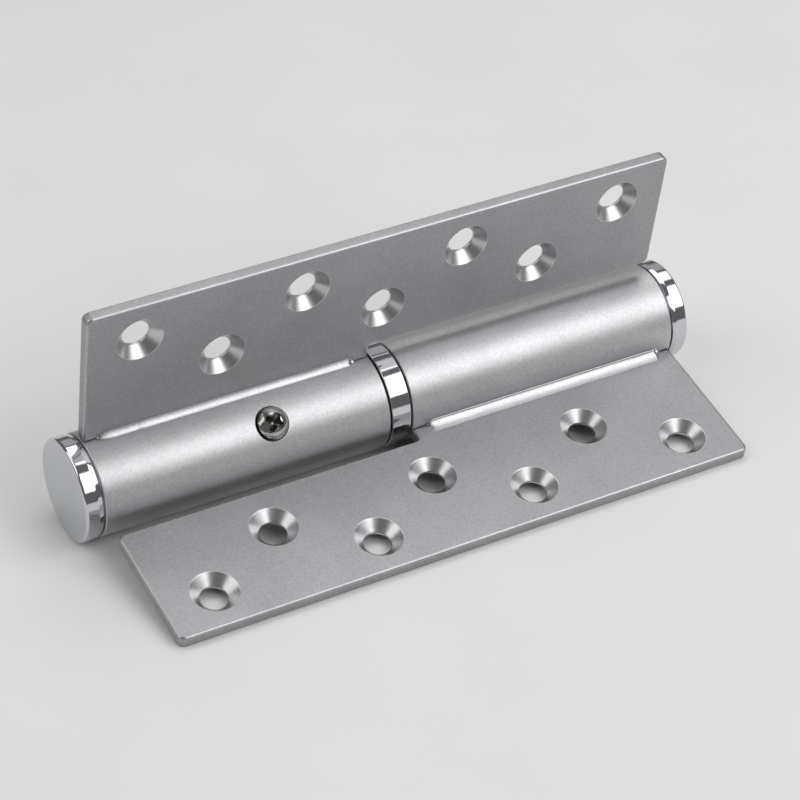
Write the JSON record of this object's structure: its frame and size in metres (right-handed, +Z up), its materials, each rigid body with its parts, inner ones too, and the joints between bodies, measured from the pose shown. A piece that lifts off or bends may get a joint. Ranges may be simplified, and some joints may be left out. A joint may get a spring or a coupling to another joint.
{
  "type": "hydraulic door hinge",
  "caption": "Two-leaf steel door hinge with countersunk zig-zag holes and a hydraulic self-closing mechanism in its welded tubes, lying half open.",
  "frame": {"origin": "on the surface that the hinge lies on, under the middle of its bounding box, which is the middle of the barrel along the pivot", "axes": "+X along the pivot from the left tube to the right tube, +Z up, +Y from the lying front leaf towards the standing rear leaf"},
  "size_m": [0.136, 0.0505, 0.0514],
  "materials": {
    "leaf_steel": "satin silver plating over blasted steel",
    "tube_steel": "satin silver plating over blasted steel",
    "weld_steel": "satin silver plating over a smooth weld",
    "bright_chrome": "mirror bright",
    "screw_steel": "dark nickel plated",
    "washer_bronze": "bearing bronze, dark with oil",
    "ground_steel": "ground steel",
    "turned_steel": "turned steel",
    "spring_steel": "oiled spring steel",
    "seal_rubber": "oil-resistant rubber"
  },
  "bodies": {
    "front_side": {"front_leaf": "leaf_steel", "front_leaf_weld": "weld_steel", "right_tube": "tube_steel", "right_cap": "bright_chrome", "right_washer": "washer_bronze", "guide_sleeve": "ground_steel", "closing_spring": "spring_steel", "tension_adjuster": "turned_steel"},
    "rear_side": {"rear_leaf": "leaf_steel", "rear_leaf_weld": "weld_steel", "left_tube": "tube_steel", "left_cap": "bright_chrome", "body_screw": "screw_steel", "middle_ring": "bright_chrome", "left_washer": "washer_bronze", "cam_sleeve": "ground_steel", "cam_circlip": "spring_steel", "oil_cylinder": "ground_steel", "gland": "washer_bronze", "gland_o_ring": "seal_rubber", "rod_seal": "seal_rubber", "end_plug": "turned_steel", "end_plug_o_ring": "seal_rubber", "speed_adjuster": "turned_steel", "cylinder_circlip": "spring_steel"},
    "follower_train": {"follower": "ground_steel", "cross_pin": "ground_steel", "spring_seat": "turned_steel", "piston_rod": "ground_steel", "piston": "turned_steel", "piston_seal": "seal_rubber"}
  },
  "joints": [
    {"name": "leaf_swing", "type": "hinge", "parent": "front_side", "child": "rear_side", "pos_m": [0, 0.01478, 0.01045], "axis": [-1, 0, 0], "range_deg": [-93.1, 86.9]},
    {"name": "piston_travel", "type": "slide", "parent": "front_side", "child": "follower_train", "axis": [1, 0, 0], "range_m": [-0.0063, 0.0059], "deforming": ["closing_spring"]}
  ],
  "couplings": [
    {"joint": "piston_travel", "follows": "leaf_swing", "m_per_rad": 0.0038197}
  ]
}
